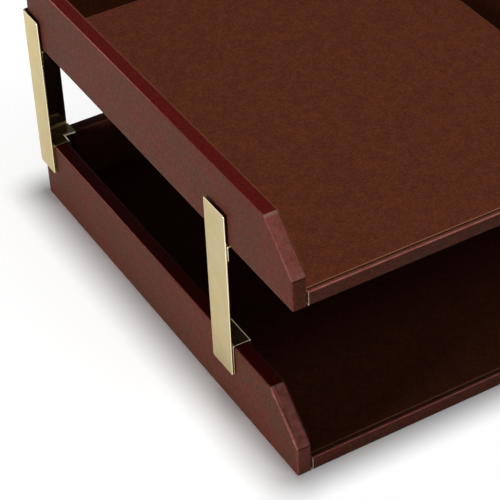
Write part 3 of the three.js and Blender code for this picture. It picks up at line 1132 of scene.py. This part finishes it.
def rearPost(hand):
    side = hands[hand]
    reach = post["rearLeg"] - standOff
    joint = post["clearance"] / np.sqrt(2)
    name = f"{hand}RearPost"
    node = f"{hand}_rear_post_"

    def upright(fromSide, fromBack, up):
        return side * (halfWidth - fromSide), back - fromBack, up

    def onSide(fromSide, up, fromBack):
        return upright(fromSide, fromBack, up)

    def onBack(fromBack, up, fromSide):
        return upright(fromSide, fromBack, up)

    def mitredRun(points, lengths):
        # From the mitre, where both distances are the same but for the joint, to the free end.
        return points[..., 0] + joint, np.full(lengths.shape, reach)

    cornerPath = [(reach, plateMiddle), (plateMiddle, plateMiddle), (plateMiddle, reach)]
    brassSheet(name + "CornerPlate", node + "corner_plate", cornerPath, plateRun, upright)
    brassSheet(name + "SideClip", node + "side_clip", clipPath(), mitredRun, onSide)
    brassSheet(name + "BackClip", node + "back_clip", clipPath(), mitredRun, onBack)
    brassSheet(name + "SideShelf", node + "side_shelf", shelfPath(), mitredRun, onSide)
    brassSheet(name + "BackShelf", node + "back_shelf", shelfPath(), mitredRun, onBack)


for hand in hands:
    frontPost(hand)
    rearPost(hand)
print("posts made")

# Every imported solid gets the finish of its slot. The boards, front strips and felt bases stay in sight.

slotOf = {part["node"]: part["material_slot"] for part in frame["record"]["subparts"]}
for nodeName, node in frame["nodes"].items():
    node.data.materials.clear()
    node.data.materials.append(finishes[slotOf[nodeName]])
print("solids finished")

# Floor and lights: three soft lamps in a dark room, with a white floor and a white wall low all round

studio = dict(
    floor=hexColour("fafafa"),
    bounce=hexColour("c0c0c0"),  # how the object itself is lit by the floor
    floorReach=6,  # metres each way
    glow=0.085,  # what the camera and mirrors see the floor add, so that it looks white
    far=(0.24, 1.2),  # metres from the middle between which the floor turns plain white
    horizon=0.6,  # how the wall all round lights things
    litTop=6,  # degrees over the horizon where that light ends
    shownTop=25,  # degrees over the horizon where the wall ends in mirrors
    softness=0.05,  # of both ends, each way
    ceiling=0.05,
    key=dict(place=(0.04, 0.01, 2.2), aim=(0, 0, 0.05), size=0.42, power=37),
    front=dict(place=(0.25, -1.3, 1.6), aim=(0, 0, 0.08), size=0.6, power=3.7),
    side=dict(place=(-2.2, -0.5, 0.26), aim=(-0.1, 0, 0.05), size=0.44, power=34),
)
white = (1, 1, 1, 1)


def reflectedPath(tree):
    # 1 for what is seen in a mirror or through glass, else 0.
    path = addNode(tree, "LightPath").outputs
    return combine(tree, "MAXIMUM", path["Is Glossy Ray"], path["Is Transmission Ray"])


def cameraPath(tree):
    return addNode(tree, "LightPath").outputs["Is Camera Ray"]


def addFloor():
    material, tree = newMaterial("floorWhite")
    seen = combine(tree, "MAXIMUM", cameraPath(tree), reflectedPath(tree))
    colour = mixColour(tree, seen, studio["bounce"], studio["floor"])
    place = addNode(tree, "TexCoord").outputs["Object"]
    distance = addNode(tree, "VectorMath", {0: place}, operation="LENGTH").outputs["Value"]
    glow = combine(tree, "MULTIPLY", seen, remap(tree, distance, *studio["far"], studio["glow"], 1.0))
    setShader(tree, {"Base Color": colour, "Roughness": 0.95, "Specular IOR Level": 0.1})
    setShader(tree, {"Emission Color": white, "Emission Strength": glow})
    reach = studio["floorReach"]
    corners = [(-reach, -reach, 0), (reach, -reach, 0), (reach, reach, 0), (-reach, reach, 0)]
    mesh = bpy.data.meshes.new("floor")
    mesh.from_pydata(corners, [], [(0, 1, 2, 3)])
    mesh.materials.append(material)
    floor = bpy.data.objects.new("floor", mesh)
    scene.collection.objects.link(floor)


def addLamp(name):
    look = studio[name]
    data = bpy.data.lights.new(name, "AREA")
    data.shape = "DISK"
    data.size = look["size"]
    data.energy = look["power"]
    lamp = bpy.data.objects.new(name, data)
    lamp.location = look["place"]
    towards = Vector(look["aim"]) - Vector(look["place"])
    lamp.rotation_euler = towards.to_track_quat("-Z", "Y").to_euler()
    scene.collection.objects.link(lamp)


def addRoom():
    # A white wall under a dark ceiling: low as a light, higher in mirrors, and plain white for the camera.
    world = bpy.data.worlds.new("studio")
    world.use_nodes = True
    tree = world.node_tree
    direction = addNode(tree, "TexCoord").outputs["Object"]
    height = addNode(tree, "SeparateXYZ", {"Vector": direction}).outputs["Z"]
    soft = studio["softness"]
    levels = []
    for degrees, brightness in ((studio["litTop"], studio["horizon"]), (studio["shownTop"], 1.0)):
        edge = np.sin(np.radians(degrees))
        levels.append(remap(tree, height, edge - soft, edge + soft, brightness, studio["ceiling"]))
    lit, shown = levels
    level = combine(tree, "MAXIMUM", lit, combine(tree, "MULTIPLY", shown, reflectedPath(tree)))
    level = combine(tree, "MAXIMUM", level, cameraPath(tree))
    setSocket(tree, tree.nodes["Background"], "Strength", level)
    setSocket(tree, tree.nodes["Background"], "Color", white)
    scene.world = world


addFloor()
for lamp in ("key", "front", "side"):
    addLamp(lamp)
addRoom()
scene.view_settings.view_transform = "Standard"
print("floor, lamps and room made")
